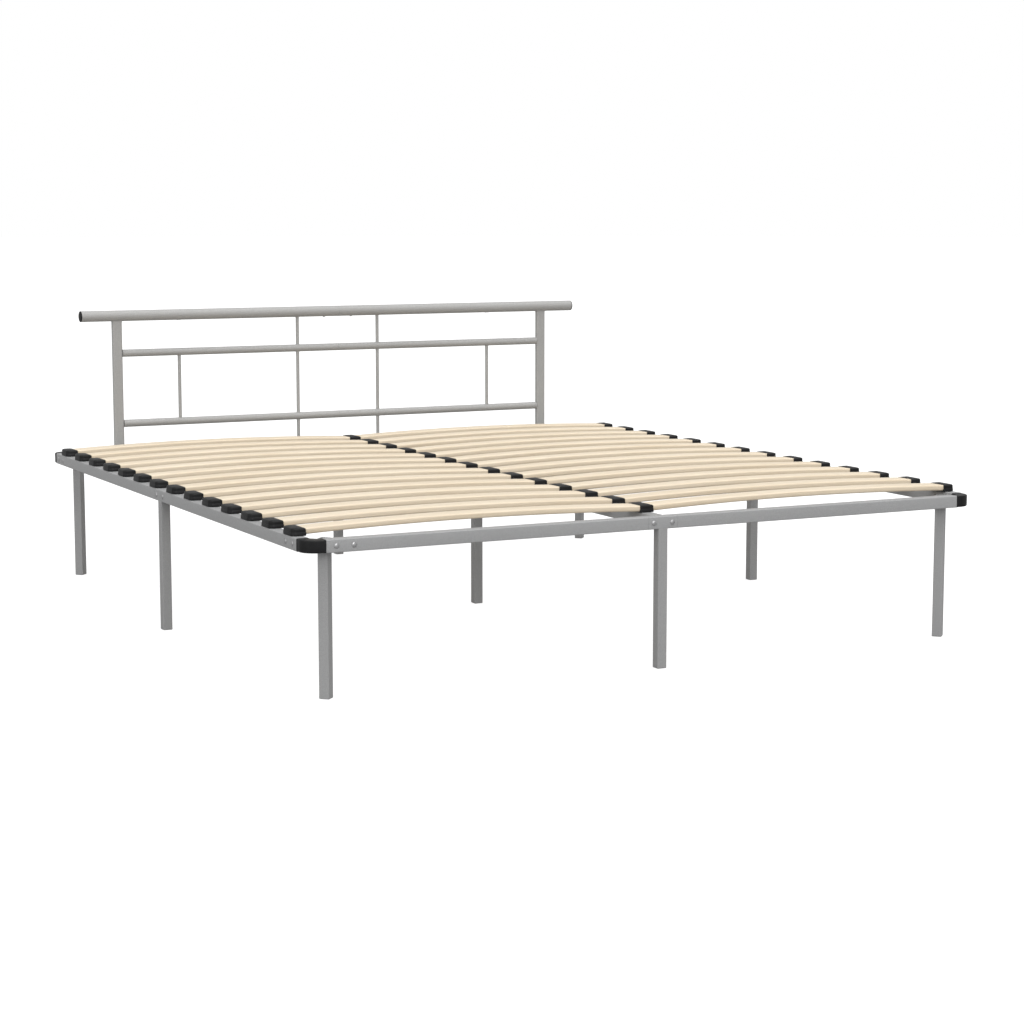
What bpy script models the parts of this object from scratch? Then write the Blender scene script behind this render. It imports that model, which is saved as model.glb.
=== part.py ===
"""Double bed frame: steel rails on nine legs, a tubular headboard and a base of sprung wooden slats.

Metres, +Z up. X is the bed's width, Y its length with the headboard at +Y, and Z is zero on the floor.
The origin is on the floor under the middle of the frame.
"""
import math

import bmesh
import bpy
from mathutils import Matrix, Vector

# Driving dimensions
WIDTH = 1.815              # outer face to outer face of the side rails
LENGTH = 2.037             # outer face of the foot rail to outer face of the head rail
RAIL_TOP = 0.366           # top of every rail above the floor
HEADBOARD_TOP = 0.780      # top of the top tube above the floor
GAP = 0.0003               # clearance between pieces that touch

# Rails and corners
RAIL_SIZE = 0.030          # square rail section
RAIL_WALL = 0.0015
RAIL_EDGE_RADIUS = 0.0025
JOINER_REACH = 0.051       # of a corner joiner along each rail, from the bed's outer corner
JOINER_RADIUS = 0.038      # outer radius of its bend
JOINER_STEPS = 6
STUB_LENGTH = 0.022        # joiner stub inside a rail
STUB_CLEARANCE = 0.0007    # round a stub inside its rail, whose inner corners are rounded

# Legs
LEG_SIZE = 0.025
LEG_WALL = 0.0015
LEG_EDGE_RADIUS = 0.002
CORNER_LEG_INSET_X = 0.066   # leg axis in from the side rail's outer face
CORNER_LEG_INSET_Y = 0.0482  # leg axis in from the end rail's outer face
CORNER_LEG_TOP = RAIL_TOP - 0.003
BRACKET_THICKNESS = 0.003
BRACKET_HEIGHT = 0.024
BRACKET_REACH = 0.128        # flange end in from the rails' outer faces
WELD_OVERLAP = 0.0006        # how far a welded bracket runs into its leg's wall

# Headboard
HEADBOARD_HALF_WIDTH = 0.820
POST_X = 0.7073
POST_WIDTH = 0.030
POST_DEPTH = 0.015
POST_EDGE_RADIUS = 0.004
TOP_TUBE_RADIUS = 0.016
CROSS_TUBE_RADIUS = 0.011
TUBE_WALL = 0.0012
UPPER_TUBE_Z = 0.6526
LOWER_TUBE_Z = 0.4427
SPINDLE_RADIUS = 0.005
LONG_SPINDLE_X = 0.1335
SHORT_SPINDLE_X = 0.5150
CAP_FLANGE = 0.004           # end cap thickness outside the top tube
CAP_STUB = 0.018

# Slats and their holders
SLAT_ROWS = 14
SLAT_PITCH = 0.1384
HEAD_SLAT_Y = 0.8893         # centre line of the row nearest the headboard
SLAT_WIDTH = 0.057
SLAT_THICKNESS = 0.014
SLAT_END_Z = RAIL_TOP + 0.0018   # underside of a slat at its ends
SLAT_RISE = 0.0108               # how far the underside rises to mid-span
SLAT_SEGMENTS = 8
SLAT_OUTER_INSET = 0.0040        # slat end in from the side rail's outer face
SLAT_CENTRE_GAP = 0.0020         # slat end from the bed's centre line
HOLDER_LENGTH_SIDE = 0.035       # along X
HOLDER_LENGTH_CENTRE = 0.037
HOLDER_WIDTH = 0.064             # along Y
HOLDER_HEIGHT = 0.0190
HOLDER_CORNER = 0.010
HOLDER_CORNER_STEPS = 3
STRIP_WIDTH = 0.008              # thin strip that ties a row of holders together
STRIP_THICKNESS = 0.0010

ROUND_SEGMENTS = 32
SPINDLE_SEGMENTS = 16
SHARP_ANGLE = math.radians(35)
BEVEL_ANGLE = math.radians(40)   # edges sharper than this are rounded
FACING = 0.999             # cosine that counts as looking straight along an axis

HALF_W = WIDTH / 2
HALF_L = LENGTH / 2
RAIL_MID_Z = RAIL_TOP - RAIL_SIZE / 2
RAIL_BOTTOM = RAIL_TOP - RAIL_SIZE
HEADBOARD_Y = HALF_L - RAIL_SIZE + POST_DEPTH / 2
TOP_TUBE_Z = HEADBOARD_TOP - TOP_TUBE_RADIUS
SLAT_CENTRE_X = (HALF_W - SLAT_OUTER_INSET + SLAT_CENTRE_GAP) / 2
SLAT_LENGTH = HALF_W - SLAT_OUTER_INSET - SLAT_CENTRE_GAP


def clear_scene():
    for obj in list(bpy.data.objects):
        bpy.data.objects.remove(obj, do_unlink=True)


def make_collection(name):
    collection = bpy.data.collections.new(name)
    bpy.context.scene.collection.children.link(collection)
    return collection


def make_material(name, colour, roughness, metallic):
    material = bpy.data.materials.new(name)
    material.use_nodes = True
    shader = material.node_tree.nodes["Principled BSDF"]
    shader.inputs["Base Color"].default_value = (*colour, 1.0)
    shader.inputs["Roughness"].default_value = roughness
    shader.inputs["Metallic"].default_value = metallic
    return material


def add_object(name, bm, location=(0, 0, 0), turn=0.0, material=None):
    """A node of the bed: the mesh in bm, placed at location and turned about Z."""
    bmesh.ops.recalc_face_normals(bm, faces=bm.faces)
    mesh = bpy.data.meshes.new(name)
    bm.to_mesh(mesh)
    bm.free()
    obj = bpy.data.objects.new(name, mesh)
    obj.location = location
    obj.rotation_euler = (0, 0, turn)
    if material is None:
        helper_shapes.objects.link(obj)
        obj.hide_render = True
        obj.display_type = "WIRE"
    else:
        mesh.materials.append(material)
        bed_parts.objects.link(obj)
    return obj


def block(size):
    """A box centred on the origin, of size (x, y, z)."""
    bm = bmesh.new()
    bmesh.ops.create_cube(bm, size=1.0)
    bmesh.ops.scale(bm, vec=Vector(size), verts=bm.verts)
    return bm


def cylinder(radius, length, axis, segments, capped=True):
    """A cylinder centred on the origin along "X", "Y" or "Z"."""
    bm = bmesh.new()
    bmesh.ops.create_cone(
        bm, cap_ends=capped, segments=segments, radius1=radius, radius2=radius, depth=length
    )
    turns = {"X": Matrix.Rotation(math.pi / 2, 3, "Y"), "Y": Matrix.Rotation(math.pi / 2, 3, "X")}
    if axis in turns:
        bmesh.ops.rotate(bm, matrix=turns[axis], verts=bm.verts)
    return bm


def open_faces(bm, directions):
    """Removes the flat faces that look along any of the directions."""
    ends = [f for f in bm.faces if any(f.normal.dot(Vector(d)) > FACING for d in directions)]
    bmesh.ops.delete(bm, geom=ends, context="FACES")


def extrude(bm, face, reach):
    """Draws a flat face out by the vector reach, and returns the face at the new end."""
    end = bmesh.ops.extrude_discrete_faces(bm, faces=[face])["faces"][0]
    bmesh.ops.translate(bm, vec=reach, verts=end.verts)
    return end


def extrude_stub(bm, face, inset, reach):
    """Draws a stub out of a flat face by the vector reach, inset from the face's edges."""
    bmesh.ops.inset_individual(bm, faces=[face], thickness=inset, use_even_offset=True)
    extrude(bm, face, reach)


def smooth(obj):
    obj.data.shade_smooth()
    obj.data.set_sharp_from_angle(angle=SHARP_ANGLE)


def add_bevel(obj, width, segments=2):
    bevel = obj.modifiers.new("rounded edges", "BEVEL")
    bevel.width = width
    bevel.segments = segments
    bevel.limit_method = "ANGLE"
    bevel.angle_limit = BEVEL_ANGLE


def add_wall(obj, thickness):
    wall = obj.modifiers.new("wall", "SOLIDIFY")
    wall.thickness = thickness
    wall.offset = -1.0
    wall.use_even_offset = True


def add_boolean(obj, other, operation):
    cut = obj.modifiers.new(operation.lower(), "BOOLEAN")
    cut.operation = operation
    cut.solver = "EXACT"
    cut.object = other


def box_tube(name, size, open_ends, location, wall, edge_radius, material, turn=0.0):
    """A rectangular steel tube with rounded long edges, open at the faces that open_ends name."""
    bm = block(size)
    bm.normal_update()
    open_faces(bm, open_ends)
    obj = add_object(name, bm, location, turn, material)
    add_bevel(obj, edge_radius)
    add_wall(obj, wall)
    return obj


def round_tube(name, radius, length, location, material):
    """A round steel tube along X with open ends."""
    obj = add_object(
        name, cylinder(radius, length, "X", ROUND_SEGMENTS, capped=False), location, 0.0, material
    )
    add_wall(obj, TUBE_WALL)
    smooth(obj)
    return obj


def build_rails():
    side_length = LENGTH - 2 * JOINER_REACH - 2 * GAP
    end_length = WIDTH - 2 * JOINER_REACH - 2 * GAP
    inset = RAIL_SIZE / 2
    along_x = ((1, 0, 0), (-1, 0, 0))
    along_y = ((0, 1, 0), (0, -1, 0))
    finish = (RAIL_WALL, RAIL_EDGE_RADIUS, steel)
    for side, x in (("left", -HALF_W + inset), ("right", HALF_W - inset)):
        size = (RAIL_SIZE, side_length, RAIL_SIZE)
        box_tube(f"side_rail_{side}", size, along_y, (x, 0, RAIL_MID_Z), *finish)
    for end, y in (("foot", -HALF_L + inset), ("head", HALF_L - inset)):
        size = (end_length, RAIL_SIZE, RAIL_SIZE)
        box_tube(f"{end}_rail", size, along_x, (0, y, RAIL_MID_Z), *finish)
    beam_length = LENGTH - 2 * RAIL_SIZE - 2 * GAP
    size = (RAIL_SIZE, beam_length, RAIL_SIZE)
    box_tube("centre_beam", size, along_y, (0, 0, RAIL_MID_Z), *finish)


def corner_bend():
    """A bend of square bar round the origin, from +X to +Y, with a straight arm and stub at each end."""
    bm = bmesh.new()
    inner = JOINER_RADIUS - RAIL_SIZE
    corners = ((inner, -RAIL_SIZE / 2), (JOINER_RADIUS, -RAIL_SIZE / 2))
    corners += ((JOINER_RADIUS, RAIL_SIZE / 2), (inner, RAIL_SIZE / 2))
    start = bm.faces.new([bm.verts.new((x, 0, z)) for x, z in corners])
    bmesh.ops.spin(
        bm, geom=[start], axis=(0, 0, 1), cent=(0, 0, 0), angle=math.pi / 2, steps=JOINER_STEPS
    )
    bmesh.ops.recalc_face_normals(bm, faces=bm.faces)
    directions = (Vector((0, -1, 0)), Vector((-1, 0, 0)))
    ends = [next(f for f in bm.faces if f.normal.dot(d) > FACING) for d in directions]
    for end, direction in zip(ends, directions):
        arm_end = extrude(bm, end, direction * (JOINER_REACH - JOINER_RADIUS))
        extrude_stub(bm, arm_end, RAIL_WALL + STUB_CLEARANCE, direction * STUB_LENGTH)
    return bm


def build_corner_joiners():
    corners = (
        ("head_right", 1, 1, 0),
        ("head_left", -1, 1, 90),
        ("foot_left", -1, -1, 180),
        ("foot_right", 1, -1, 270),
    )
    for name, sx, sy, degrees in corners:
        centre = (sx * (HALF_W - JOINER_RADIUS), sy * (HALF_L - JOINER_RADIUS), RAIL_MID_Z)
        add_object(f"corner_joiner_{name}", corner_bend(), centre, math.radians(degrees), plastic)


def corner_bracket(name, sx, sy, leg_sum):
    """The bent strip between a corner leg and both rails: a flange on each rail, a diagonal between."""
    face = RAIL_SIZE + GAP
    middle = BRACKET_THICKNESS / 2
    line = leg_sum - LEG_SIZE / math.sqrt(2) - math.sqrt(2) * (middle - WELD_OVERLAP)
    turn_at = line - (face + middle)
    route = [(BRACKET_REACH, face + middle), (turn_at, face + middle)]
    route += [(face + middle, turn_at), (face + middle, BRACKET_REACH)]
    low = CORNER_LEG_TOP - BRACKET_HEIGHT
    bm = bmesh.new()
    rows = []
    for z in (low, CORNER_LEG_TOP - GAP):
        places = [(sx * (HALF_W - a), sy * (HALF_L - b), z) for a, b in route]
        rows.append([bm.verts.new(place) for place in places])
    for i in range(len(route) - 1):
        bm.faces.new((rows[0][i], rows[0][i + 1], rows[1][i + 1], rows[1][i]))
    strip = add_object(name, bm)
    wall = strip.modifiers.new("strip thickness", "SOLIDIFY")
    wall.thickness = BRACKET_THICKNESS
    wall.offset = 0.0
    wall.use_even_offset = True
    return strip


def build_legs():
    top_only = ((0, 0, 1),)
    for end, sy in (("foot", -1), ("head", 1)):
        for side, sx in (("left", -1), ("right", 1)):
            x = sx * (HALF_W - CORNER_LEG_INSET_X)
            y = sy * (HALF_L - CORNER_LEG_INSET_Y)
            size = (LEG_SIZE, LEG_SIZE, CORNER_LEG_TOP)
            place = (x, y, CORNER_LEG_TOP / 2)
            name = f"leg_{end}_{side}"
            turn = math.radians(45)
            leg = box_tube(name, size, top_only, place, LEG_WALL, LEG_EDGE_RADIUS, steel, turn)
            total = CORNER_LEG_INSET_X + CORNER_LEG_INSET_Y
            add_boolean(leg, corner_bracket(f"bracket_{end}_{side}", sx, sy, total), "UNION")
    flush_x = HALF_W - LEG_SIZE / 2
    flush_y = HALF_L - LEG_SIZE / 2
    places = {
        "leg_foot_centre": (0, -flush_y),
        "leg_head_centre": (0, flush_y),
        "leg_middle_left": (-flush_x, 0),
        "leg_middle_right": (flush_x, 0),
        "leg_middle_centre": (0, 0),
    }
    height = RAIL_BOTTOM - GAP
    for name, (x, y) in places.items():
        size = (LEG_SIZE, LEG_SIZE, height)
        box_tube(name, size, top_only, (x, y, height / 2), LEG_WALL, LEG_EDGE_RADIUS, steel)


def build_headboard():
    saddle_length = 2 * HEADBOARD_HALF_WIDTH
    saddles = {}
    for name, radius, z in (
        ("top_tube_saddle", TOP_TUBE_RADIUS, TOP_TUBE_Z),
        ("upper_tube_saddle", CROSS_TUBE_RADIUS, UPPER_TUBE_Z),
        ("lower_tube_saddle", CROSS_TUBE_RADIUS, LOWER_TUBE_Z),
    ):
        shape = cylinder(radius + GAP, saddle_length, "X", ROUND_SEGMENTS)
        saddles[name] = add_object(name, shape, (0, HEADBOARD_Y, z))

    tube_length = 2 * (HEADBOARD_HALF_WIDTH - CAP_FLANGE - GAP)
    place = (0, HEADBOARD_Y, TOP_TUBE_Z)
    round_tube("headboard_top_tube", TOP_TUBE_RADIUS, tube_length, place, steel)
    for side, sx in (("left", -1), ("right", 1)):
        build_end_cap(f"top_tube_cap_{side}", sx)

    for side, sx in (("left", -1), ("right", 1)):
        foot = RAIL_TOP + GAP
        height = TOP_TUBE_Z - foot
        size = (POST_WIDTH, POST_DEPTH, height)
        place = (sx * POST_X, HEADBOARD_Y, foot + height / 2)
        both_ends = ((0, 0, 1), (0, 0, -1))
        name = f"headboard_post_{side}"
        post = box_tube(name, size, both_ends, place, RAIL_WALL, POST_EDGE_RADIUS, steel)
        add_boolean(post, saddles["top_tube_saddle"], "DIFFERENCE")

    bores = []
    for side, sx in (("left", -1), ("right", 1)):
        shape = cylinder(SPINDLE_RADIUS + GAP, HEADBOARD_TOP, "Z", SPINDLE_SEGMENTS)
        place = (sx * LONG_SPINDLE_X, HEADBOARD_Y, UPPER_TUBE_Z)
        bores.append(add_object(f"spindle_bore_{side}", shape, place))
    cross_length = 2 * (POST_X - POST_WIDTH / 2 - GAP)
    for name, z in (("upper_cross_tube", UPPER_TUBE_Z), ("lower_cross_tube", LOWER_TUBE_Z)):
        place = (0, HEADBOARD_Y, z)
        tube = round_tube(name, CROSS_TUBE_RADIUS, cross_length, place, steel)
        for bore in bores:
            add_boolean(tube, bore, "DIFFERENCE")

    for side, sx in (("left", -1), ("right", 1)):
        x = sx * LONG_SPINDLE_X
        rod = add_spindle(f"long_spindle_{side}", x, RAIL_TOP + GAP, TOP_TUBE_Z)
        add_boolean(rod, saddles["top_tube_saddle"], "DIFFERENCE")
        x = sx * SHORT_SPINDLE_X
        rod = add_spindle(f"short_spindle_{side}", x, LOWER_TUBE_Z, UPPER_TUBE_Z)
        add_boolean(rod, saddles["upper_tube_saddle"], "DIFFERENCE")
        add_boolean(rod, saddles["lower_tube_saddle"], "DIFFERENCE")


def add_spindle(name, x, low, high):
    """An upright steel rod of the headboard from low to high."""
    shape = cylinder(SPINDLE_RADIUS, high - low, "Z", SPINDLE_SEGMENTS)
    rod = add_object(name, shape, (x, HEADBOARD_Y, (low + high) / 2), 0.0, steel)
    smooth(rod)
    return rod


def build_end_cap(name, sx):
    """A plastic plug for one end of the top tube: a flange outside and a stub inside."""
    bm = cylinder(TOP_TUBE_RADIUS, CAP_FLANGE, "X", ROUND_SEGMENTS)
    bm.normal_update()
    inner = next(f for f in bm.faces if f.normal.x * sx < -FACING)
    extrude_stub(bm, inner, TUBE_WALL + STUB_CLEARANCE, Vector((-sx * CAP_STUB, 0, 0)))
    x = sx * (HEADBOARD_HALF_WIDTH - CAP_FLANGE / 2)
    cap = add_object(name, bm, (x, HEADBOARD_Y, TOP_TUBE_Z), 0.0, plastic)
    smooth(cap)


def arched_slat(sx, clearance=0.0):
    """A bent slat on the side sx of the centre line, grown by clearance on every side."""
    size = (SLAT_LENGTH + 2 * clearance, SLAT_WIDTH + 2 * clearance, SLAT_THICKNESS + 2 * clearance)
    bm = block(size)
    long_edges = [e for e in bm.edges if abs((e.verts[0].co - e.verts[1].co).x) > SLAT_LENGTH / 2]
    bmesh.ops.subdivide_edges(bm, edges=long_edges, cuts=SLAT_SEGMENTS - 1, use_grid_fill=True)
    for vert in bm.verts:
        along = vert.co.x / (SLAT_LENGTH / 2)
        vert.co.z += SLAT_END_Z + SLAT_THICKNESS / 2 + SLAT_RISE * (1 - along * along)
    bmesh.ops.translate(bm, vec=(sx * SLAT_CENTRE_X, 0, 0), verts=bm.verts)
    return bm


def row_y(row):
    """The centre line of a row of slats, counted from the headboard."""
    return HEAD_SLAT_Y - SLAT_PITCH * row


def build_slats():
    for side, sx in (("left", -1), ("right", 1)):
        for row in range(SLAT_ROWS):
            add_object(f"slat_{side}_{row + 1:02d}", arched_slat(sx), (0, row_y(row), 0), 0.0, wood)


def merged(shapes):
    """One bmesh with every (bmesh, y) of shapes, moved along Y."""
    whole = bmesh.new()
    for bm, y in shapes:
        bmesh.ops.translate(bm, vec=(0, y, 0), verts=bm.verts)
        piece = bpy.data.meshes.new("piece")
        bm.to_mesh(piece)
        bm.free()
        whole.from_mesh(piece)
        bpy.data.meshes.remove(piece)
    return whole


def holder_block(length, rounded_side):
    """One holder's outer shape, with its two outer corners rounded when rounded_side is -1 or 1."""
    bm = block((length, HOLDER_WIDTH, HOLDER_HEIGHT))
    if rounded_side:
        corners = [e for e in bm.edges if all(v.co.x * rounded_side > 0 for v in e.verts)]
        corners = [e for e in corners if abs(e.verts[0].co.z - e.verts[1].co.z) > HOLDER_HEIGHT / 2]
        steps = HOLDER_CORNER_STEPS
        bmesh.ops.bevel(
            bm, geom=corners, offset=HOLDER_CORNER, segments=steps, profile=0.5, affect="EDGES"
        )
    return bm


def build_holder_row(name, x, length, rounded_side, slat_sides):
    """A row of slat holders on a rail, tied together by a thin strip under the slats."""
    rows = range(SLAT_ROWS)
    base = RAIL_TOP + GAP
    sockets = [(arched_slat(sx, GAP), row_y(row)) for row in rows for sx in slat_sides]
    cutter = add_object(f"{name}_sockets", merged(sockets))
    blocks = merged([(holder_block(length, rounded_side), row_y(row)) for row in rows])
    bodies = add_object(f"{name}_blocks", blocks, (x, 0, base + HOLDER_HEIGHT / 2))
    add_boolean(bodies, cutter, "DIFFERENCE")
    span = SLAT_PITCH * (SLAT_ROWS - 1)
    middle_y = row_y((SLAT_ROWS - 1) / 2)
    strip = block((STRIP_WIDTH, span, STRIP_THICKNESS))
    place = (x, middle_y, base + STRIP_THICKNESS / 2)
    row = add_object(name, strip, place, 0.0, plastic)
    add_boolean(row, bodies, "UNION")


def build_holders():
    side_x = HALF_W - HOLDER_LENGTH_SIDE / 2
    build_holder_row("slat_holders_left", -side_x, HOLDER_LENGTH_SIDE, -1, (-1,))
    build_holder_row("slat_holders_right", side_x, HOLDER_LENGTH_SIDE, 1, (1,))
    build_holder_row("slat_holders_centre", 0, HOLDER_LENGTH_CENTRE, 0, (-1, 1))


clear_scene()
bed_parts = make_collection("metal_bed_frame")
helper_shapes = make_collection("cutters")
steel = make_material("silver_grey_powder_coat", (0.33, 0.33, 0.34), 0.45, 0.6)
plastic = make_material("black_plastic", (0.012, 0.012, 0.013), 0.5, 0.0)
wood = make_material("birch_plywood", (0.80, 0.68, 0.47), 0.55, 0.0)
build_rails()
build_corner_joiners()
build_legs()
build_headboard()
build_slats()
build_holders()
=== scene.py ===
"""Looks of a slatted metal bed frame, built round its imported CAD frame. All lengths are metres.

Rails, round tubes, slats, slat holders, corner joiners and end caps get finer pieces of their own.
Legs, posts, spindles and the centre beam keep their CAD meshes.
Bolts, nuts, screws, tube sleeves and weld beads exist only here.
"""

import math

import bmesh
import bpy
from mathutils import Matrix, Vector


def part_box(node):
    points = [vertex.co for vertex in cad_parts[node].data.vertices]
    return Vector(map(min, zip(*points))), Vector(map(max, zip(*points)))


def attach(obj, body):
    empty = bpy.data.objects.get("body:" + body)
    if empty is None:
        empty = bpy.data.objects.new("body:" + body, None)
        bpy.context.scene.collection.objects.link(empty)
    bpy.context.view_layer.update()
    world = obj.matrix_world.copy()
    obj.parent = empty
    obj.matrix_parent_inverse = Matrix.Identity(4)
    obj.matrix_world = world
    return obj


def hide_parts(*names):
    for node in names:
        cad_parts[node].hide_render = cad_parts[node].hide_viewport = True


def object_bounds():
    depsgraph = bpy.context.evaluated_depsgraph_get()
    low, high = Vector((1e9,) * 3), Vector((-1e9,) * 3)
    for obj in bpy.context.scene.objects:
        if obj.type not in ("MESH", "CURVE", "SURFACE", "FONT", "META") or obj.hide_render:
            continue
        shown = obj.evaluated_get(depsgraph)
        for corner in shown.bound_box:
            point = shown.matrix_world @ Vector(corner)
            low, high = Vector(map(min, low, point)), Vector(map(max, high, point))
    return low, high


BODY = "root"
STEEL_SLOT = "powder_coated_steel"
PLASTIC_SLOT = "black_plastic"
WOOD_SLOT = "birch_plywood"

# Camera: looks a little down across the foot-left corner.
CAMERA_PLACE = (-2.7614, -5.7476, 1.1130)
CAMERA_HEADING = 26.536    # degrees from +Y towards +X
CAMERA_PITCH = 7.676       # degrees below the horizon
CAMERA_LENS = 82.08        # millimetres, like the sensor
CAMERA_SENSOR = 36.0
CAMERA_REACH = 200.0       # nothing further away is drawn

# Rails, round tubes and their joints.
RAIL_EDGE_RADIUS = 0.0025
RAIL_CHAMFER = 0.0005      # at a cut end of a rail
TUBE_CHAMFER = 0.0001      # at a cut end of a round tube
SEAM = 0.0007              # gap between two butted tubes
SLEEVE_INSET = 0.0008      # the inner sleeve below the outer tube's face
SLEEVE_REACH = 0.030       # of the sleeve into each tube
TEE_HALF = 0.0395          # half the length of the tee on top of a middle leg
TUBE_SEGMENTS = 48

# Bolts through the rails. BOLT_INSETS are measured in from the outer corner of the bed.
BOLT_INSETS = (0.0755, 0.1175)
PLAIN_ENDED = "foot_rail"  # its right end shows no bolts
TEE_BOLT = 0.0250          # from the middle leg's centre line
CORNER_NUT_GAP = 0.0033    # between a rail and the nuts by the corners, for the leg's bracket
BOLT_RADIUS = 0.0060
BOLT_SEGMENTS = 28
SCREW_RADIUS = 0.0035      # under the joint of the top tube
SCREW_PLACE = 0.045        # along the tube from its joint
SCREW_SEGMENTS = 20

# Heads of bolts and screws.
HEAD_RIM = 0.0006          # height of the straight rim under the dome
HEAD_DOME = 0.0020
HEAD_STEPS = 6
HEAD_OPENING = 0.3         # of a step, kept clear round the axis
HEAD_FOOT = 0.96           # of the radius, where the head meets the metal
HEAD_FOOT_RISE = 0.3       # of the rim's height, where the full radius starts

# Nuts, each with the end of its bolt.
NUT_RADIUS = 0.0075        # across the corners
NUT_HEIGHT = 0.0050
NUT_SHOULDER = 0.88        # of the height, where the top chamfer starts
NUT_TOP = 0.9              # of the radius, inside the top chamfer
NUT_BORE = 0.0035
NUT_SIDES = 6
NUT_FLANGE = 0.0085
NUT_FLANGE_HEIGHT = 0.0012
NUT_FLANGE_SLOPE = 1.6     # flange heights, up to where its slope meets the hexagon
NUT_FLANGE_SEGMENTS = 30
THREAD_RADIUS = 0.0031
THREAD_REACH = 0.0012      # of the full thread past the nut
THREAD_TIP_RADIUS = 0.0022
THREAD_TIP_REACH = 0.0020  # past the nut
THREAD_SEGMENTS = 20

# Slats.
SLAT_ROWS = 14
SLAT_EDGE_RADIUS = 0.0042
SLAT_THICKNESS = 0.014
SLAT_CHAMFER = 0.0010
SLAT_END_RADIUS = 0.0090   # of the slat ends seen from above
SLAT_END_STEPS = 5
SLAT_STATIONS = 40
GRAIN_UV = "grain"
PLY_UV = "plies"
GRAIN_SHIFT = 0.731        # moves each slat to its own stretch of the veneer pattern
ROW_SHIFT = 1.37           # from one row of slats to the next
RIGHT_SHIFT = 0.61         # from a left slat to the right one of its row
PLIES = 8                  # pattern units through the thickness
PLY_START = 0.90           # of the half width, where the veneer starts to give way to the plies
PLY_BLEND = 0.06           # of the half width, over which it does

# Slat holders.
HOLDER_OUTER_RADIUS = 0.0120
HOLDER_INNER_RADIUS = 0.0018
HOLDER_LEAST_RADIUS = 0.0006
HOLDER_FOOT_CHAMFER = 0.0010
HOLDER_LEDGE = 0.0080      # height of the ledge round the wall
HOLDER_LEDGE_STEP = 0.0008
HOLDER_LEDGE_DROP = 0.0007  # below the ledge, where its edge starts to slope
HOLDER_LEDGE_EASE = 0.0004
HOLDER_RIM = 0.0038        # rounding of the top edge
HOLDER_RIM_STEPS = 4
HOLDER_DOME = 0.0014       # rise of the top inside its rim
HOLDER_DOME_STEPS = 5
HOLDER_DOME_REACH = 0.72   # of the way to the middle, for the dome's last ring
POCKET_CLEARANCE = 0.0005

# Corner joiners.
JOINER_BEND = 0.0380       # outer radius of the bend, between two straight arms
JOINER_COLLAR = 0.0030
JOINER_COLLAR_EDGE = 0.1   # of the collar's length, sloped at the rail
JOINER_COLLAR_END = 1.3    # collar lengths, from the rail to the full step down
JOINER_STEP = 0.0006       # body below its collars
JOINER_EDGE_RADIUS = 0.0030
JOINER_TURN_STEPS = 24

# Plugs in the top tube's ends.
CAP_STUB = 0.012           # reach into the tube
CAP_STUB_SHARE = 0.93      # of the tube's radius
CAP_LIP = 0.0003           # height of the lip at the tube's end
CAP_LIP_SHARE = 0.985      # of the tube's radius
CAP_RIM = 0.35             # of the plug's height, up to its dome
CAP_RIM_START = 0.5        # of the rim, where the full radius starts
CAP_STEPS = 8
CAP_OPENING = 0.2          # of a step, kept clear round the axis
CAP_FULLNESS = 0.6         # power of the cosine: 1 is an ellipse, less is flatter on top
CAP_SEGMENTS = 40

# Weld beads.
BEAD_RADIUS = 0.0013
SPINDLE_BEAD_RADIUS = BEAD_RADIUS * 0.7
LEG_BEAD_RADIUS = BEAD_RADIUS * 0.8
BEAD_RIPPLE = 0.16         # of the radius
BEAD_RIPPLES_PER_METRE = 420
BEAD_SEGMENTS = 8
BEAD_SPACING = 0.0009      # aimed at between the points of a path round a box
BEAD_CORNER_STEPS = 5
UPRIGHT_LIMIT = 0.1        # sine of the angle from upright, below which a path counts as upright
SPINDLE_BEAD_POINTS = 60
POST_BEAD_CORNER = 0.003
POST_FOOT_INSET = 0.001    # off the depth of the bead round a post's foot
POST_FOOT_RISE = BEAD_RADIUS * 0.2
LEG_BEAD_CORNER = 0.002
LEG_BEAD_INSET = 0.0016    # off the width and the depth of the leg
MIDDLE_LEGS = ("foot_centre", "head_centre", "middle_left", "middle_right", "middle_centre")

# Finishes. A noise from NOISE_LOW to NOISE_HIGH covers the whole of a two-stop ramp or a roughness.
NOISE_LOW = 0.3
NOISE_HIGH = 0.7
RAIL_TONE = (0.335, 0.336, 0.338)
LEG_TONE = (0.315, 0.315, 0.316)
HEADBOARD_TONE = (0.365, 0.362, 0.355)
COAT_SPECULAR = 0.30
PLASTIC_BLACK = (0.0065, 0.0065, 0.0070)
PLASTIC_SPECULAR = 0.22
ZINC_GREY = (0.50, 0.50, 0.505)
BIRCH_LIGHT = (0.750, 0.655, 0.515)
BIRCH_MID = (0.715, 0.615, 0.470)
BIRCH_DARK = (0.630, 0.515, 0.370)
BIRCH_CLOUD = (0.94, 0.92, 0.89)
PORE_STRENGTH = 0.8
GLUE = (0.60, 0.46, 0.32)
CROSS_PLY = (0.93, 0.90, 0.86)
GLUE_STRENGTH = 0.55

# Veneer patterns, in units per metre along the grain and across it.
STREAK_STRETCH = (5.0, 190.0, 1.0)
PORE_STRETCH = (22.0, 1400.0, 1.0)
CLOUD_STRETCH = (1.3, 9.0, 1.0)

# Studio.
FILL_STRENGTH = 0.55       # of the even light from all round
FLOOR_GREY = 0.34
FLOOR_PATCHES = (0.33, 0.35)
FLOOR_GLOW = 0.78          # seen by the camera only
FLOOR_RADIUS = 60.0
FLOOR_SEGMENTS = 96
FLOOR_DROP = 0.0005        # below the legs' feet
SUNS = (
    # name, direction towards the light, strength, softness in degrees
    ("overhead", (0.05, -0.18, 1.0), 2.00, 60),
    ("front", (-0.05, -1.0, 0.45), 0.95, 30),
    ("left", (-1.0, -0.35, 0.40), 0.80, 50),
)

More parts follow.
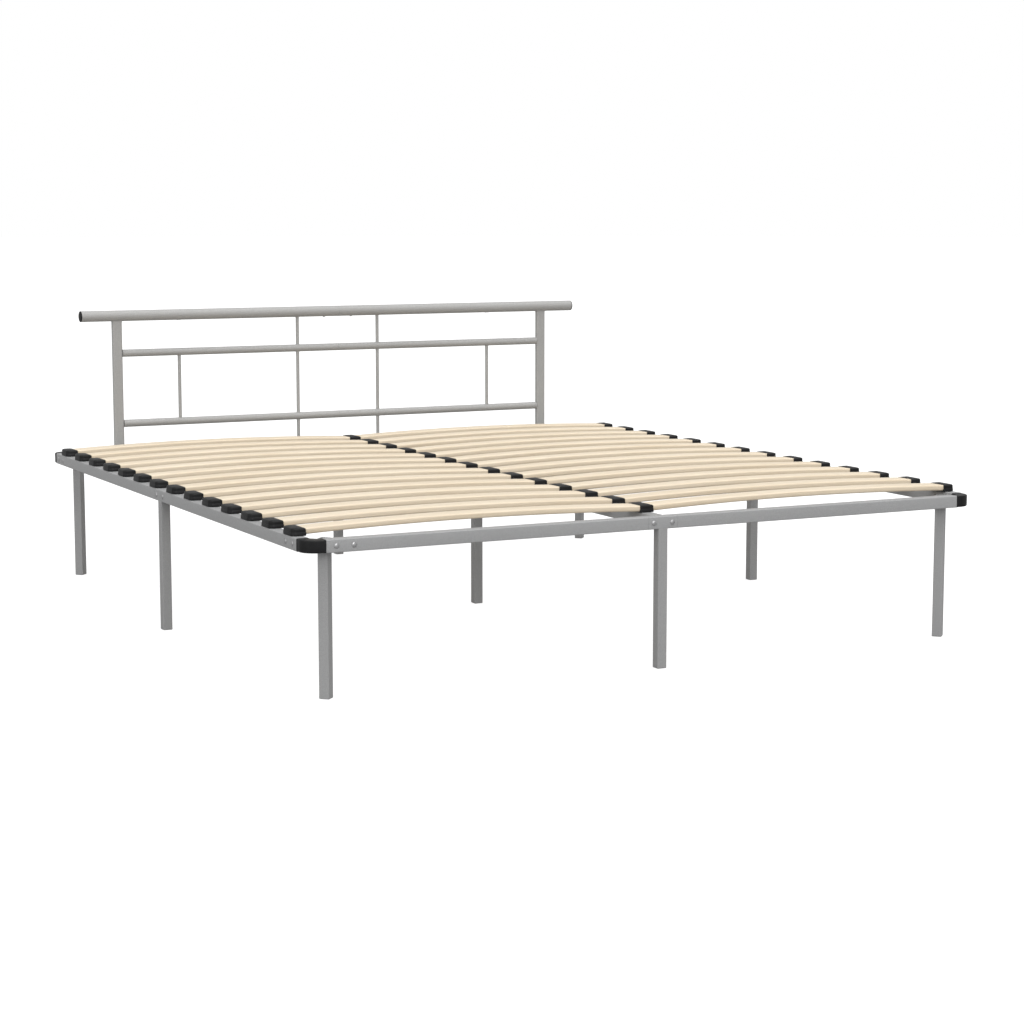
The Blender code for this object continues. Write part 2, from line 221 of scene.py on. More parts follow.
SMOOTH_ANGLE = math.radians(32)
CORNER_STEPS = 6
QUARTER = math.pi / 2


# ---------------------------------------------------------------- geometry helpers


def rounded_rect(width, height, radii, steps=CORNER_STEPS):
    """Points round a rectangle centred on the origin, with one radius for each corner."""
    corners = ((1, 1, 0), (-1, 1, 90), (-1, -1, 180), (1, -1, 270))
    points = []
    for (sx, sy, start), radius in zip(corners, radii):
        corner = Vector((sx * (width / 2 - radius), sy * (height / 2 - radius)))
        for i in range(steps + 1):
            angle = math.radians(start + 90 * i / steps)
            points.append(corner + radius * Vector((math.cos(angle), math.sin(angle))))
    return points


def circle(radius, segments=TUBE_SEGMENTS):
    turns = [2 * math.pi * i / segments for i in range(segments)]
    return [Vector((radius * math.cos(turn), radius * math.sin(turn))) for turn in turns]


def loft(rings, looped=False):
    """A closed skin through rings of points, with a face on each end unless it is looped."""
    bm = bmesh.new()
    rows = [[bm.verts.new(point) for point in ring] for ring in rings]
    pairs = list(zip(rows, rows[1:]))
    if looped:
        pairs.append((rows[-1], rows[0]))
    for low, high in pairs:
        for i in range(len(low)):
            j = (i + 1) % len(low)
            bm.faces.new((low[i], low[j], high[j], high[i]))
    if not looped:
        bm.faces.new(rows[0][::-1])
        bm.faces.new(rows[-1])
    bmesh.ops.recalc_face_normals(bm, faces=bm.faces)
    return bm


def bar(section, axis, start, end, centre, chamfer=RAIL_CHAMFER):
    """A bar along axis 0 or 1. section(inset) gives its outline, and centre its place across."""
    stations = ((start, chamfer), (start + chamfer, 0), (end - chamfer, 0), (end, chamfer))
    rings = []
    for along, inset in stations:
        ring = []
        for u, v in section(inset):
            across = (along, centre[0] + u) if axis == 0 else (centre[0] + u, along)
            ring.append((*across, centre[1] + v))
        rings.append(ring)
    return loft(rings)


def square_section(size, radius):
    def outline(inset):
        side = size - 2 * inset
        return rounded_rect(side, side, [radius - inset] * 4)

    return outline


def round_section(radius):
    return lambda inset: circle(radius - inset)


def lathe(profile, segments, place, direction):
    """Turns (radius, height) points about direction, which starts at place."""
    turn = Vector(direction).to_track_quat("Z", "Y")
    rings = []
    for radius, height in profile:
        rings.append([Vector((x, y, height)) for x, y in circle(radius, segments)])
    bm = loft(rings)
    for vert in bm.verts:
        vert.co = Vector(place) + turn @ vert.co
    return bm


def head_profile(radius):
    """A button head: a short straight rim, then a quarter of an ellipse."""
    profile = [(radius * HEAD_FOOT, 0.0), (radius, HEAD_RIM * HEAD_FOOT_RISE), (radius, HEAD_RIM)]
    for i in range(1, HEAD_STEPS + 1):
        angle = QUARTER * i / (HEAD_STEPS + HEAD_OPENING)
        profile.append((radius * math.cos(angle), HEAD_RIM + HEAD_DOME * math.sin(angle)))
    return profile


def add_piece(name, bm, material, slot, *nodes):
    """Links a mesh as a piece of the bed that stands for the given CAD nodes."""
    mesh = bpy.data.meshes.new(name)
    bm.to_mesh(mesh)
    bm.free()
    for polygon in mesh.polygons:
        polygon.use_smooth = True
    mesh.set_sharp_from_angle(angle=SMOOTH_ANGLE)
    piece = bpy.data.objects.new(name, mesh)
    bpy.context.scene.collection.objects.link(piece)
    mesh.materials.append(material)
    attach(piece, BODY)
    if nodes:
        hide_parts(*nodes)
    return piece


def middle(node):
    low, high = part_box(node)
    return (low + high) / 2


# ---------------------------------------------------------------- materials


def new_material(name, colour, roughness, metallic):
    """A Principled material, its node tree, and its Principled node."""
    material = bpy.data.materials.new(name)
    material.use_nodes = True
    material.diffuse_color = (*colour, 1)
    shader = material.node_tree.nodes["Principled BSDF"]
    shader.inputs["Base Color"].default_value = (*colour, 1)
    shader.inputs["Roughness"].default_value = roughness
    shader.inputs["Metallic"].default_value = metallic
    return material, material.node_tree, shader


def object_place(tree):
    return tree.nodes.new("ShaderNodeTexCoord").outputs["Object"]


def stretched(tree, vector, scale):
    """vector with each axis scaled."""
    node = tree.nodes.new("ShaderNodeMapping")
    node.inputs["Scale"].default_value = scale
    tree.links.new(vector, node.inputs["Vector"])
    return node.outputs["Vector"]


def noise(tree, vector, scale, detail=3.0, roughness=0.5):
    node = tree.nodes.new("ShaderNodeTexNoise")
    node.inputs["Scale"].default_value = scale
    node.inputs["Detail"].default_value = detail
    node.inputs["Roughness"].default_value = roughness
    tree.links.new(vector, node.inputs["Vector"])
    return node.outputs["Fac"]


def ramp(tree, value, stops):
    """Colours of value, from (position, colour) stops."""
    node = tree.nodes.new("ShaderNodeValToRGB")
    elements = node.color_ramp.elements
    elements[0].position = stops[0][0]
    elements[0].color = (*stops[0][1], 1)
    elements[1].position = stops[-1][0]
    elements[1].color = (*stops[-1][1], 1)
    for position, colour in stops[1:-1]:
        elements.new(position).color = (*colour, 1)
    tree.links.new(value, node.inputs["Fac"])
    return node.outputs["Color"]


def blended(tree, kind, factor, first, second):
    """Mixes two colour outputs. factor is a number or an output."""
    node = tree.nodes.new("ShaderNodeMix")
    node.data_type = "RGBA"
    node.blend_type = kind
    if isinstance(factor, float):
        node.inputs["Factor"].default_value = factor
    else:
        tree.links.new(factor, node.inputs["Factor"])
    tree.links.new(first, node.inputs[6])
    tree.links.new(second, node.inputs[7])
    return node.outputs[2]


def set_roughness(tree, shader, value, low, high):
    """Spreads the main range of a noise over low to high, as the shader's roughness."""
    node = tree.nodes.new("ShaderNodeMapRange")
    node.inputs["From Min"].default_value = NOISE_LOW
    node.inputs["From Max"].default_value = NOISE_HIGH
    node.inputs["To Min"].default_value = low
    node.inputs["To Max"].default_value = high
    tree.links.new(value, node.inputs["Value"])
    tree.links.new(node.outputs["Result"], shader.inputs["Roughness"])


def add_bump(tree, shader, height, strength, distance):
    node = tree.nodes.new("ShaderNodeBump")
    node.inputs["Strength"].default_value = strength
    node.inputs["Distance"].default_value = distance
    tree.links.new(height, node.inputs["Height"])
    tree.links.new(node.outputs["Normal"], shader.inputs["Normal"])


def grey(value):
    return (value, value, value)


def scaled(colour, factor):
    return tuple(channel * factor for channel in colour)


def powder_coat(name, tone):
    """Satin silver-grey powder coat: fine metal flakes, orange peel and a slow drift of tone."""
    material, tree, shader = new_material(name, tone, roughness=0.50, metallic=0.10)
    shader.inputs["Specular IOR Level"].default_value = COAT_SPECULAR
    place = object_place(tree)
    flakes = noise(tree, place, scale=1100.0, detail=2.0, roughness=0.7)
    speckled = ramp(tree, flakes, ((0.30, scaled(tone, 0.82)), (0.52, tone), (0.72, scaled(tone, 1.28))))
    drift = ramp(tree, noise(tree, place, scale=3.1), ((NOISE_LOW, grey(0.95)), (NOISE_HIGH, grey(1.0))))
    colour = blended(tree, "MULTIPLY", 1.0, speckled, drift)
    tree.links.new(colour, shader.inputs["Base Color"])
    set_roughness(tree, shader, noise(tree, place, scale=140.0), low=0.44, high=0.56)
    orange_peel = noise(tree, place, scale=420.0, detail=1.5)
    add_bump(tree, shader, orange_peel, strength=0.35, distance=0.00012)
    return material


def moulded_plastic(name):
    """Black moulded plastic with a fine spark-eroded grain and faint flow marks."""
    material, tree, shader = new_material(name, PLASTIC_BLACK, roughness=0.45, metallic=0.0)
    shader.inputs["Specular IOR Level"].default_value = PLASTIC_SPECULAR
    place = object_place(tree)
    marks = ((NOISE_LOW, scaled(PLASTIC_BLACK, 0.7)), (NOISE_HIGH, scaled(PLASTIC_BLACK, 1.7)))
    flow = ramp(tree, noise(tree, place, scale=38.0, detail=4.0), marks)
    tree.links.new(flow, shader.inputs["Base Color"])
    grain = noise(tree, place, scale=1500.0, roughness=0.65)
    set_roughness(tree, shader, grain, low=0.36, high=0.54)
    add_bump(tree, shader, grain, strength=0.45, distance=0.00015)
    return material


def zinc(name):
    """Bright zinc plating, finely mottled."""
    material, tree, shader = new_material(name, ZINC_GREY, roughness=0.42, metallic=1.0)
    place = object_place(tree)
    spots = ((NOISE_LOW, scaled(ZINC_GREY, 0.78)), (NOISE_HIGH, ZINC_GREY))
    mottle = ramp(tree, noise(tree, place, scale=900.0, detail=4.0), spots)
    tree.links.new(mottle, shader.inputs["Base Color"])
    set_roughness(tree, shader, noise(tree, place, scale=600.0), low=0.38, high=0.50)
    add_bump(tree, shader, noise(tree, place, scale=1300.0), strength=0.2, distance=0.00006)
    return material


def uv_vector(tree, layer):
    node = tree.nodes.new("ShaderNodeUVMap")
    node.uv_map = layer
    return node.outputs["UV"]


def birch_plywood(name):
    """Sealed birch veneer with its grain along the slat, and the plies on its long edges."""
    material, tree, shader = new_material(name, BIRCH_LIGHT, roughness=0.5, metallic=0.0)
    veneer = uv_vector(tree, GRAIN_UV)
    along_grain = stretched(tree, veneer, STREAK_STRETCH)
    streaks = noise(tree, along_grain, scale=1.0, detail=6.0, roughness=0.62)
    fine = noise(tree, stretched(tree, veneer, PORE_STRETCH), scale=1.0, roughness=0.6)
    figure = noise(tree, stretched(tree, veneer, CLOUD_STRETCH), scale=1.0, detail=2.0)
    colour = ramp(tree, streaks, ((0.26, BIRCH_DARK), (0.44, BIRCH_MID), (0.60, BIRCH_LIGHT)))
    pores = ramp(tree, fine, ((0.25, grey(0.80)), (0.48, grey(1.0))))
    colour = blended(tree, "MULTIPLY", PORE_STRENGTH, colour, pores)
    clouds = ramp(tree, figure, ((NOISE_LOW, BIRCH_CLOUD), (NOISE_HIGH, grey(1.0))))
    colour = blended(tree, "MULTIPLY", 1.0, colour, clouds)

    plies = tree.nodes.new("ShaderNodeSeparateXYZ")
    tree.links.new(uv_vector(tree, PLY_UV), plies.inputs["Vector"])
    waves = tree.nodes.new("ShaderNodeMath")
    waves.operation = "PINGPONG"
    waves.inputs[1].default_value = 1.0
    tree.links.new(plies.outputs["X"], waves.inputs[0])
    layers = ramp(tree, waves.outputs[0], ((0.0, GLUE), (0.16, grey(1.0)), (1.0, CROSS_PLY)))
    layered = blended(tree, "MULTIPLY", GLUE_STRENGTH, colour, layers)
    colour = blended(tree, "MIX", plies.outputs["Y"], colour, layered)
    tree.links.new(colour, shader.inputs["Base Color"])
    set_roughness(tree, shader, streaks, low=0.58, high=0.42)
    add_bump(tree, shader, fine, strength=0.25, distance=0.00012)
    return material


def white_floor(name):
    """Pale studio floor. It glows for the camera only, so that shadows on it stay faint."""
    material, tree, shader = new_material(name, grey(FLOOR_GREY), roughness=0.95, metallic=0.0)
    dark, light = FLOOR_PATCHES
    cloudy = noise(tree, object_place(tree), scale=0.8, detail=2.0)
    patches = ramp(tree, cloudy, ((NOISE_LOW, grey(dark)), (NOISE_HIGH, grey(light))))
    tree.links.new(patches, shader.inputs["Base Color"])
    shader.inputs["Specular IOR Level"].default_value = 0.0
    shader.inputs["Emission Color"].default_value = (*grey(FLOOR_GLOW), 1)
    rays = tree.nodes.new("ShaderNodeLightPath")
    tree.links.new(rays.outputs["Is Camera Ray"], shader.inputs["Emission Strength"])
    return material


# ---------------------------------------------------------------- rails, bolts and joiners


def add_jointed_bar(node, section, sleeve, axis, cuts, material, chamfer=RAIL_CHAMFER):
    """A tube in several lengths, cut at the given places, with one sleeve inside all the cuts."""
    low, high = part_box(node)
    across = (low + high) / 2
    centre = (across[1 - axis], across[2])
    ends = [low[axis], *cuts, high[axis]]
    for i, (start, end) in enumerate(zip(ends, ends[1:])):
        start += SEAM / 2 if i else 0
        end -= SEAM / 2 if i < len(cuts) else 0
        bm = bar(section, axis, start, end, centre, chamfer)
        add_piece(f"{node}_length_{i + 1}", bm, material, STEEL_SLOT, node)
    bm = bar(sleeve, axis, cuts[0] - SLEEVE_REACH, cuts[-1] + SLEEVE_REACH, centre)
    add_piece(f"{node}_sleeve", bm, material, STEEL_SLOT, node)


def add_bolt(name, place, direction):
    bm = lathe(head_profile(BOLT_RADIUS), BOLT_SEGMENTS, place, direction)
    add_piece(name, bm, plating, STEEL_SLOT)


def add_nut(name, place, direction):
    """A flanged hexagon nut with the rounded end of its bolt."""
    top = NUT_HEIGHT
    slope_top = NUT_FLANGE_HEIGHT * NUT_FLANGE_SLOPE
    flange = ((NUT_FLANGE, 0.0), (NUT_FLANGE, NUT_FLANGE_HEIGHT), (NUT_RADIUS, slope_top))
    hexagon = ((NUT_RADIUS, 0), (NUT_RADIUS, top * NUT_SHOULDER))
    hexagon += ((NUT_RADIUS * NUT_TOP, top), (NUT_BORE, top))
    tip = (THREAD_TIP_RADIUS, top + THREAD_TIP_REACH)
    thread = ((THREAD_RADIUS, 0), (THREAD_RADIUS, top + THREAD_REACH), tip)
    bm = lathe(flange, NUT_FLANGE_SEGMENTS, place, direction)
    for profile, segments in ((hexagon, NUT_SIDES), (thread, THREAD_SEGMENTS)):
        part = lathe(profile, segments, place, direction)
        mesh = bpy.data.meshes.new("part")
        part.to_mesh(mesh)
        part.free()
        bm.from_mesh(mesh)
        bpy.data.meshes.remove(mesh)
    add_piece(name, bm, plating, STEEL_SLOT)


def add_rail(node, axis):
    """A rail in three lengths, with bolts through it by the corners and by the middle leg."""
    low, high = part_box(node)
    size = high[2] - low[2]
    section = square_section(size, RAIL_EDGE_RADIUS)
    sleeve = square_section(size - 2 * SLEEVE_INSET, RAIL_EDGE_RADIUS)
    add_jointed_bar(node, section, sleeve, axis, (-TEE_HALF, TEE_HALF), rail_coat)

    outward = 1 if middle(node)[1 - axis] > 0 else -1
    outer = high[1 - axis] if outward > 0 else low[1 - axis]
    corner = bed_high[axis]
    places = [(-TEE_BOLT, 0.0)] + [(inset - corner, CORNER_NUT_GAP) for inset in BOLT_INSETS]
    places += [(-along, depth) for along, depth in places if along == -TEE_BOLT or node != PLAIN_ENDED]
    for i, (along, depth) in enumerate(sorted(places)):
        inner = outer - outward * (size + depth)
        bolt = ("bolt", add_bolt, outer, outward)
        nut = ("nut", add_nut, inner, -outward)
        for kind, add, across, turn in (bolt, nut):
            place = [0, 0, (low[2] + high[2]) / 2]
            place[axis] = along
            place[1 - axis] = across
            direction = [0, 0, 0]
            direction[1 - axis] = turn
            add(f"{kind}_{node}_{i + 1}", place, direction)


def build_rails():
    for node in ("side_rail_left", "side_rail_right"):
        add_rail(node, 1)
    for node in ("foot_rail", "head_rail"):
        add_rail(node, 0)


def add_joiner(node, sx, sy):
    """A black bend between two rails, with a collar at each end and rounded edges."""
    low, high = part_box("side_rail_left")
    size = high[2] - low[2]
    middle_z = (low[2] + high[2]) / 2
    arm = bed_high[1] - high[1] - JOINER_BEND
    radius = JOINER_BEND - size / 2
    centre = Vector((sx * (bed_high[0] - JOINER_BEND), sy * (bed_high[1] - JOINER_BEND)))
    collar = [(0, JOINER_STEP), (JOINER_COLLAR_EDGE * JOINER_COLLAR, 0), (JOINER_COLLAR, 0)]
    collar += [(JOINER_COLLAR_END * JOINER_COLLAR, JOINER_STEP)]
    stations = [(0, arm - depth, inset) for depth, inset in collar]
    stations += [(QUARTER * i / JOINER_TURN_STEPS, 0, JOINER_STEP) for i in range(JOINER_TURN_STEPS + 1)]
    stations += [(QUARTER, arm - depth, inset) for depth, inset in reversed(collar)]
    rings = []
    for turn, out, inset in stations:
        outline = rounded_rect(size - 2 * inset, size - 2 * inset, [JOINER_EDGE_RADIUS] * 4)
        outward = Vector((sx * math.cos(turn), sy * math.sin(turn)))
        along = Vector((0, -sy)) if turn == 0 else Vector((-sx, 0))
        start = centre + along * out
        rings.append([(*(start + outward * (radius + u)), middle_z + v) for u, v in outline])
    add_piece(node + "_moulding", loft(rings), black_plastic, PLASTIC_SLOT, node)


def build_joiners():
    for end, sy in (("foot", -1), ("head", 1)):
        for side, sx in (("left", -1), ("right", 1)):
            add_joiner(f"corner_joiner_{end}_{side}", sx, sy)


# ---------------------------------------------------------------- headboard


def build_headboard_tubes():
    """Round tubes in two halves each, and the screws under the joint of the top one."""
    for node in ("headboard_top_tube", "upper_cross_tube", "lower_cross_tube"):
        low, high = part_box(node)
        radius = (high[2] - low[2]) / 2
        section = round_section(radius)
        sleeve = round_section(radius - SLEEVE_INSET)
        add_jointed_bar(node, section, sleeve, 0, (0.0,), headboard_coat, TUBE_CHAMFER)
    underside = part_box("headboard_top_tube")[0][2]
    y = middle("headboard_top_tube")[1]
    for side, sx in (("left", -1), ("right", 1)):
        place = (sx * SCREW_PLACE, y, underside + HEAD_RIM / 2)
        bm = lathe(head_profile(SCREW_RADIUS), SCREW_SEGMENTS, place, (0, 0, -1))
        add_piece(f"top_tube_screw_{side}", bm, plating, STEEL_SLOT)


def build_end_caps():
    """Domed plastic plugs in the ends of the top tube."""
    low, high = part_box("headboard_top_tube")
    centre = (low + high) / 2
    radius = (high[2] - low[2]) / 2
    for side, sx in (("left", -1), ("right", 1)):
        node = f"top_tube_cap_{side}"
        tube_end = high[0] if sx > 0 else low[0]
        reach = reach_along_x(node) - abs(tube_end)
        rim = reach * CAP_RIM
        profile = [(radius * CAP_STUB_SHARE, -CAP_STUB), (radius * CAP_STUB_SHARE, 0.0)]
        profile += [(radius * CAP_LIP_SHARE, CAP_LIP), (radius, rim * CAP_RIM_START), (radius, rim)]
        for i in range(1, CAP_STEPS + 1):
            angle = QUARTER * i / (CAP_STEPS + CAP_OPENING)
            width = radius * math.cos(angle) ** CAP_FULLNESS
            profile.append((width, rim + (reach - rim) * math.sin(angle)))
        bm = lathe(profile, CAP_SEGMENTS, (tube_end, centre[1], centre[2]), (sx, 0, 0))
        add_piece(node + "_plug", bm, black_plastic, PLASTIC_SLOT, node)


def reach_along_x(node):
    """How far a node reaches from the bed's centre plane along X."""
    low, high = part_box(node)
    return max(abs(low[0]), abs(high[0]))


# ---------------------------------------------------------------- weld beads


def add_bead(name, path, radius=BEAD_RADIUS):
    """A rippled weld bead along a closed path of points."""
    count = len(path)
    length = 0.0
    rings = []
    for i, point in enumerate(path):
        ahead = (path[(i + 1) % count] - path[i - 1]).normalized()
        side = ahead.cross(Vector((0, 0, 1)))
        if side.length <= UPRIGHT_LIMIT:
            side = ahead.cross(Vector((0, 1, 0)))
        side = side.normalized()
        up = side.cross(ahead)
        length += (point - path[i - 1]).length
        swell = radius * (1 + BEAD_RIPPLE * math.sin(length * BEAD_RIPPLES_PER_METRE * 2 * math.pi))
        rings.append([point + side * u + up * v for u, v in circle(swell, BEAD_SEGMENTS)])
    add_piece(name, loft(rings, looped=True), headboard_coat, STEEL_SLOT)


def spindle_path(x, y, tube_z, tube_radius, spindle_radius, upward):
    """Where an upright rod meets a level tube, above it or below it."""
    path = []
    for u, v in circle(spindle_radius, SPINDLE_BEAD_POINTS):
        rise = math.sqrt(tube_radius**2 - v**2)
        path.append(Vector((x + u, y + v, tube_z + (rise if upward else -rise))))
    return path


def add_spindle_beads():
    tubes = ("lower_cross_tube", "upper_cross_tube", "headboard_top_tube")
    for node in ("long_spindle_left", "long_spindle_right", "short_spindle_left", "short_spindle_right"):
        low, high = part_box(node)
        centre = (low + high) / 2
        radius = (high[0] - low[0]) / 2
        for tube in tubes:
            tube_low, tube_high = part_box(tube)
            tube_z = (tube_low[2] + tube_high[2]) / 2
            tube_radius = (tube_high[2] - tube_low[2]) / 2
            for upward, reached in ((True, high[2] > tube_high[2]), (False, low[2] < tube_low[2])):
                if not reached:
                    continue
                path = spindle_path(centre[0], centre[1], tube_z, tube_radius, radius, upward)
                where = "over" if upward else "under"
                add_bead(f"weld_{node}_{where}_{tube}", path, SPINDLE_BEAD_RADIUS)


def box_path(centre, width, depth, radius, height_at):
    """A closed path round an upright box section. height_at(v) gives its height across the depth."""
    outline = rounded_rect(width, depth, [radius] * 4, BEAD_CORNER_STEPS)
    dense = []
    for first, second in zip(outline, outline[1:] + outline[:1]):
        parts = max(1, round((second - first).length / BEAD_SPACING))
        dense += [first.lerp(second, i / parts) for i in range(parts)]
    return [Vector((centre[0] + u, centre[1] + v, height_at(v))) for u, v in dense]


def add_post_beads():
    top_low, top_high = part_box("headboard_top_tube")
    tube_z = (top_low[2] + top_high[2]) / 2
    tube_radius = (top_high[2] - top_low[2]) / 2
    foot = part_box("head_rail")[1][2] + POST_FOOT_RISE

    def tube_underside(v):
        return tube_z - math.sqrt(tube_radius**2 - v**2)

    for side in ("left", "right"):
        node = f"headboard_post_{side}"
        low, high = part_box(node)
        size = high - low
        centre = (low + high) / 2
        above = box_path(centre, size[0], size[1], POST_BEAD_CORNER, tube_underside)
        add_bead(f"weld_{node}_top", above)
        below = box_path(centre, size[0], size[1] - POST_FOOT_INSET, POST_BEAD_CORNER, lambda v: foot)
        add_bead(f"weld_{node}_foot", below)


def add_leg_beads():
    """A bead where each middle leg meets the rail above it."""
    for place in MIDDLE_LEGS:
        node = f"leg_{place}"
        low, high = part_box(node)
        width = high[0] - low[0] - LEG_BEAD_INSET
        depth = high[1] - low[1] - LEG_BEAD_INSET
        path = box_path((low + high) / 2, width, depth, LEG_BEAD_CORNER, lambda v: high[2])
        add_bead(f"weld_{node}", path, LEG_BEAD_RADIUS)


# ---------------------------------------------------------------- slats and holders


def slat_mesh(low, high, grow, shift):
    """A bent slat in the box low to high, grown all round by grow, with its two UV layers."""
    half = (high[0] - low[0]) / 2
    centre_x = (high[0] + low[0]) / 2
    centre_y = (high[1] + low[1]) / 2
    width = high[1] - low[1] + 2 * grow
    thickness = SLAT_THICKNESS + 2 * grow
    rise = high[2] - low[2] - SLAT_THICKNESS
    reach = half + grow
    tip = [SLAT_END_RADIUS * (i / SLAT_END_STEPS) ** 2 for i in range(SLAT_END_STEPS + 1)]
    plain = reach - SLAT_END_RADIUS
    places = [d - reach for d in tip]
    places += [plain * (2 * i / SLAT_STATIONS - 1) for i in range(1, SLAT_STATIONS)]
    places += [reach - d for d in reversed(tip)]
    rings = []
    for x in places:
        short = max(0.0, SLAT_END_RADIUS - (reach - abs(x)))
        narrowing = SLAT_END_RADIUS - math.sqrt(SLAT_END_RADIUS**2 - short**2)
        thinning = SLAT_CHAMFER * max(0.0, 1 - (reach - abs(x)) / SLAT_CHAMFER)
        radius = SLAT_EDGE_RADIUS - thinning
        lift = low[2] + SLAT_THICKNESS / 2 + rise * (1 - (x / half) ** 2)
        outline = rounded_rect(width - 2 * narrowing, thickness - 2 * thinning, [radius] * 4)
        rings.append([(centre_x + x, centre_y + u, lift + v) for u, v in outline])
    bm = loft(rings)
    grain = bm.loops.layers.uv.new(GRAIN_UV)
    plies = bm.loops.layers.uv.new(PLY_UV)
    bm.normal_update()
    for face in bm.faces:
        for loop in face.loops:
            x, y, z = loop.vert.co
            along = (x - centre_x) / half
            depth = (z - low[2] - rise * (1 - along * along)) / SLAT_THICKNESS
            across = y - centre_y
            loop[grain].uv = (x + shift * GRAIN_SHIFT, across + SLAT_THICKNESS * depth + shift)
            edge = min(1.0, max(0.0, (abs(across) / (width / 2) - PLY_START) / PLY_BLEND))
            loop[plies].uv = (PLIES * depth, edge)
    return bm


def build_slats():
    for side, side_shift in (("left", 0.0), ("right", RIGHT_SHIFT)):
        for row in range(1, SLAT_ROWS + 1):
            node = f"slat_{side}_{row:02d}"
            low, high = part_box(node)
            bm = slat_mesh(low, high, 0.0, row * ROW_SHIFT + side_shift)
            add_piece(f"bent_{node}", bm, plywood, WOOD_SLOT, node)


def holder_mesh(length, width, height, radii):
    """A holder's outer shape, standing on z = 0: a ledge round its wall and a domed, rounded top."""
    levels = [(0.0, HOLDER_FOOT_CHAMFER), (HOLDER_FOOT_CHAMFER, 0.0)]
    levels += [(HOLDER_LEDGE - HOLDER_LEDGE_DROP, 0.0), (HOLDER_LEDGE, HOLDER_LEDGE_EASE)]
    levels += [(HOLDER_LEDGE + HOLDER_LEDGE_EASE, HOLDER_LEDGE_STEP)]
    shoulder = height - HOLDER_DOME - HOLDER_RIM
    for i in range(HOLDER_RIM_STEPS + 1):
        angle = QUARTER * i / HOLDER_RIM_STEPS
        inset = HOLDER_LEDGE_STEP + HOLDER_RIM * (1 - math.cos(angle))
        levels.append((shoulder + HOLDER_RIM * math.sin(angle), inset))
    edge = HOLDER_LEDGE_STEP + HOLDER_RIM
    for i in range(1, HOLDER_DOME_STEPS + 1):
        share = i / HOLDER_DOME_STEPS
        inset = edge + share * (length / 2 - edge) * HOLDER_DOME_REACH
        levels.append((height - HOLDER_DOME * (1 - share) ** 2, inset))
    rings = []
    for z, inset in levels:
        kept = [max(radius - inset, HOLDER_LEAST_RADIUS) for radius in radii]
        outline = rounded_rect(length - 2 * inset, width - 2 * inset, kept)
        rings.append([(u, v, z) for u, v in outline])
    return loft(rings)


def mesh_object(name, bm):
    mesh = bpy.data.meshes.new(name)
    bm.to_mesh(mesh)
    bm.free()
    obj = bpy.data.objects.new(name, mesh)
    bpy.context.scene.collection.objects.link(obj)
    return obj


def cut(obj, cutter):
    """Takes cutter's shape out of obj's mesh, and deletes cutter."""
    modifier = obj.modifiers.new("pocket", "BOOLEAN")
    modifier.operation = "DIFFERENCE"
    modifier.solver = "EXACT"
    modifier.object = cutter
    bpy.context.view_layer.update()
    evaluated = obj.evaluated_get(bpy.context.evaluated_depsgraph_get())
    mesh = bpy.data.meshes.new_from_object(evaluated)
    obj.modifiers.clear()
    obj.data = mesh
    bpy.data.objects.remove(cutter)


def build_holder_row(node, sides, radii):
    """One holder for each row of slats on a rail, cut to take the slat ends of the given sides."""
    low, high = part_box(node)
    first = middle("slat_left_01")[1]
    width = 2 * (high[1] - first)
    length = high[0] - low[0]
    template = mesh_object("template", holder_mesh(length, width, high[2] - low[2], radii))
    template.location = ((low[0] + high[0]) / 2, first, low[2])
    for side in sides:
        slat_low, slat_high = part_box(f"slat_{side}_01")
        cut(template, mesh_object("pocket", slat_mesh(slat_low, slat_high, POCKET_CLEARANCE, 0.0)))
    bm = bmesh.new()
    bm.from_mesh(template.data)
    for layer in list(bm.loops.layers.uv.values()):
        bm.loops.layers.uv.remove(layer)
    for row in range(1, SLAT_ROWS + 1):
        holder = bm.copy()
        place = template.location.copy()
        place[1] = middle(f"slat_left_{row:02d}")[1]
        bmesh.ops.translate(holder, vec=place, verts=holder.verts)
        name = f"{node.replace('slat_holders', 'slat_holder')}_{row:02d}"
        add_piece(name, holder, black_plastic, PLASTIC_SLOT, node)
    bm.free()
    bpy.data.objects.remove(template)


def build_holders():
    """Corner radii run anticlockwise from the corner at +X and +Y."""
    big = HOLDER_OUTER_RADIUS
    small = HOLDER_INNER_RADIUS
    build_holder_row("slat_holders_left", ("left",), (small, big, big, small))
    build_holder_row("slat_holders_right", ("right",), (big, small, small, big))
    build_holder_row("slat_holders_centre", ("left", "right"), (small, small, small, small))


# ---------------------------------------------------------------- CAD nodes kept, studio


def coat_cad_nodes():
    """New finishes on the CAD nodes that stay."""
    for name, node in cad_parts.items():
        if name.startswith("leg_"):
            material = leg_coat
        elif name.startswith(("headboard_post", "long_spindle", "short_spindle")):
            material = headboard_coat
        elif name == "centre_beam":
            material = rail_coat
        else:
            continue
        for slot in node.material_slots:
            slot.material = material


def build_floor():
    bm = bmesh.new()
    bmesh.ops.create_circle(bm, cap_ends=True, radius=FLOOR_RADIUS, segments=FLOOR_SEGMENTS)
    floor = mesh_object("floor", bm)
    floor.location[2] = bed_low[2] - FLOOR_DROP
    floor.data.materials.append(white_floor("studio_floor"))


